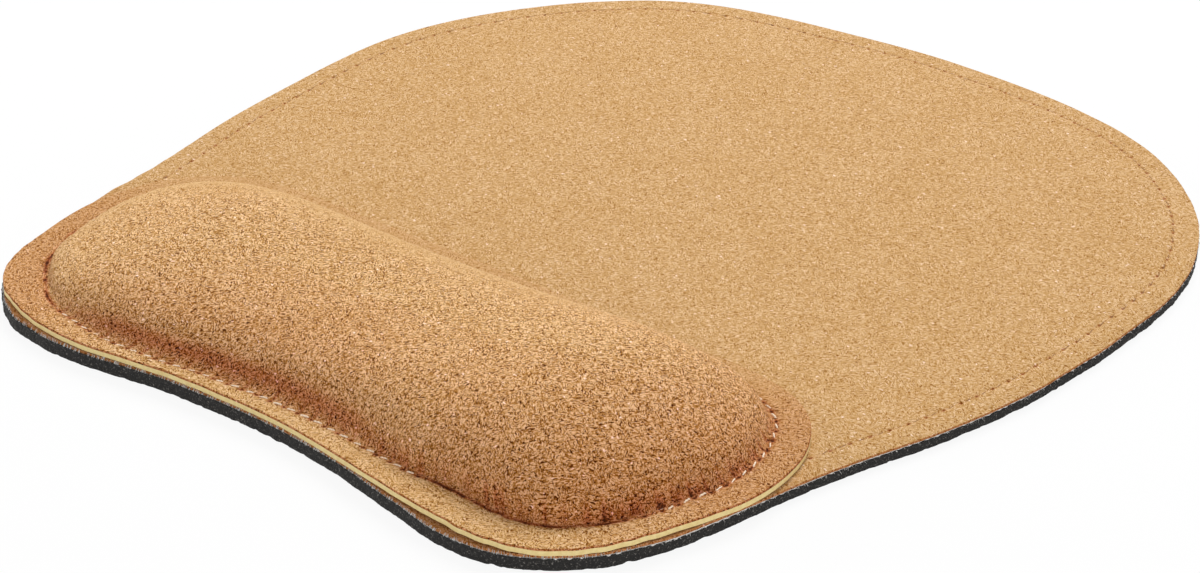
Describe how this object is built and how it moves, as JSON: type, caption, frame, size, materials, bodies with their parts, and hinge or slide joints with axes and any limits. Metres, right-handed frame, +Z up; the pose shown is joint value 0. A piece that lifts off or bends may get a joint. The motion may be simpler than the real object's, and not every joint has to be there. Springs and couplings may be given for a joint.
{
  "type": "mouse pad with wrist rest",
  "caption": "Flat rounded mouse pad of cork over black foam, with a sewn, padded cork wrist rest along its front edge.",
  "frame": {"origin": "on the surface the pad lies on, under the middle of the pad's outline", "axes": "+X to the user's right, +Y away from the user, so the wrist rest is at -Y, and +Z up"},
  "size_m": [0.23, 0.246, 0.0188],
  "materials": {
    "black_foam": "open-cell foam rubber, matte, with a rough cut edge",
    "backing_cloth": "thin pale grey cotton backing with a frayed cut edge",
    "pad_cork": "matte agglomerated cork sheet, fine golden granules",
    "rest_cork": "matte agglomerated cork sheet stretched over the cushion, darker flecks",
    "brown_thread": "twisted brown sewing thread",
    "pale_thread": "twisted off-white sewing thread",
    "adhesive": "double-sided adhesive sheet",
    "base_sheet": "dull khaki sheet with a clean cut edge",
    "cushion_foam": "soft slow-recovery foam, hidden inside the rest"
  },
  "bodies": {
    "root": {"foam_base": "black_foam", "pad_cloth_backing": "backing_cloth", "pad_cork_cover": "pad_cork", "pad_needle_thread": "brown_thread", "pad_bobbin_thread": "brown_thread", "rest_adhesive_sheet": "adhesive", "rest_base_sheet": "base_sheet", "rest_cushion_core": "cushion_foam", "rest_cloth_backing": "backing_cloth", "rest_cork_cover": "rest_cork", "rest_needle_thread": "pale_thread", "rest_bobbin_thread": "pale_thread"}
  },
  "joints": []
}
